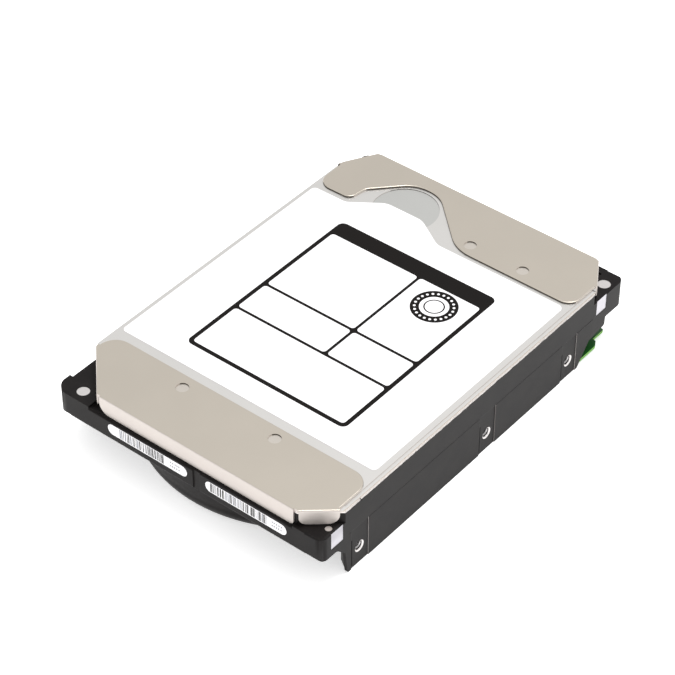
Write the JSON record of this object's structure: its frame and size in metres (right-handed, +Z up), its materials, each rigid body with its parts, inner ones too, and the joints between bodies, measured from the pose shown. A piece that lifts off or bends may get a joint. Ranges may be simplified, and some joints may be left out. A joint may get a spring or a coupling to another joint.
{
  "type": "hard disk drive",
  "caption": "Sealed 3.5 inch hard disk drive: black die-cast case, welded metal cover with label, disc pack on a spindle, swinging head actuator, control board",
  "frame": {"origin": "centre of the case outline, on the bottom mounting plane that the side rails rest on", "axes": "+X across the width, +Y along the length towards the interface connector, +Z up through the label side"},
  "size_m": [0.1016, 0.147, 0.0261],
  "materials": {
    "arm_metal": "machined aluminium",
    "board_green": "glossy green solder mask",
    "bracket_plastic": "moulded plastic",
    "capacitor_tan": "ceramic body with tinned ends",
    "casting_black": "die cast, black electrocoat, bare metal where milled",
    "chip_black": "moulded epoxy",
    "clamp_metal": "stamped stainless steel",
    "coil_plastic": "moulded frame",
    "connector_black": "moulded nylon",
    "contact_gold": "gold plated",
    "core_steel": "laminated steel",
    "cover_nickel": "satin nickel-plated sheet",
    "desiccant_white": "moulded cartridge",
    "filter_white": "electrostatic felt",
    "flex_amber": "polyimide film with copper",
    "front_label_white": "matte white label with bar marks",
    "gasket_black": "moulded seal",
    "header_steel": "plated header",
    "hub_metal": "machined aluminium",
    "inner_cover_metal": "satin rolled sheet",
    "insulator_grey": "thermal foam pad",
    "label_white": "matte white polyester label with black print",
    "latch_plastic": "moulded plastic",
    "magnet_nickel": "nickel plated magnet",
    "platter_mirror": "polished disc",
    "ramp_plastic": "natural acetal",
    "screw_steel": "bright zinc",
    "sleeve_steel": "ground steel",
    "slider_ceramic": "polished ceramic",
    "spacer_metal": "machined aluminium",
    "stop_rubber": "moulded rubber",
    "suspension_steel": "thin stainless sheet",
    "winding_copper": "enamelled copper wire",
    "yoke_nickel": "nickel plated steel"
  },
  "bodies": {
    "enclosure": {"base_casting": "casting_black", "board_capacitors": "capacitor_tan", "board_insulator": "insulator_grey", "board_screws": "screw_steel", "connector_contacts": "contact_gold", "control_board": "board_green", "controller_chip": "chip_black", "crash_stop_sleeves": "stop_rubber", "desiccant_pack": "desiccant_white", "feedthrough_header": "header_steel", "feedthrough_pins": "contact_gold", "flash_memory_chip": "chip_black", "flex_bracket": "bracket_plastic", "flex_cable": "flex_amber", "front_label_left": "front_label_white", "front_label_right": "front_label_white", "inner_cover": "inner_cover_metal", "inner_cover_gasket": "gasket_black", "inner_cover_screws": "screw_steel", "interface_connector": "connector_black", "interior_screws": "screw_steel", "latch_pin": "sleeve_steel", "load_ramp": "ramp_plastic", "lower_magnet": "magnet_nickel", "lower_yoke": "yoke_nickel", "memory_chip": "chip_black", "motor_driver_chip": "chip_black", "motor_shaft": "sleeve_steel", "outer_cover": "cover_nickel", "pivot_and_spindle_screws": "screw_steel", "pivot_shaft": "sleeve_steel", "product_label": "label_white", "recirculation_filter": "filter_white", "stator_core": "core_steel", "stator_windings": "winding_copper", "upper_magnet": "magnet_nickel", "upper_yoke": "yoke_nickel", "yoke_posts": "sleeve_steel"},
    "spindle": {"spindle_hub": "hub_metal", "bearing_sleeve": "sleeve_steel", "rotor_magnet": "magnet_nickel", "platters": "platter_mirror", "platter_spacers": "spacer_metal", "disk_clamp": "clamp_metal", "disk_clamp_screws": "screw_steel"},
    "actuator": {"arm_block": "arm_metal", "pivot_bearing": "sleeve_steel", "voice_coil": "winding_copper", "coil_frame": "coil_plastic", "suspensions": "suspension_steel", "head_sliders": "slider_ceramic", "preamp_chip": "chip_black"},
    "latch": {"inertia_latch": "latch_plastic"}
  },
  "joints": [
    {"name": "spindle_spin", "type": "hinge", "parent": "enclosure", "child": "spindle", "pos_m": [0, -0.0215, 0.012], "axis": [0, 0, 1], "continuous": true},
    {"name": "actuator_swing", "type": "hinge", "parent": "enclosure", "child": "actuator", "pos_m": [-0.022, 0.031, 0.012], "axis": [0, 0, -1], "range_deg": [0, 37], "deforming": ["flex_cable"]},
    {"name": "latch_turn", "type": "hinge", "parent": "enclosure", "child": "latch", "pos_m": [-0.0432, 0.0553, 0.013], "axis": [0, 0, 1], "range_deg": [0, 22]}
  ]
}
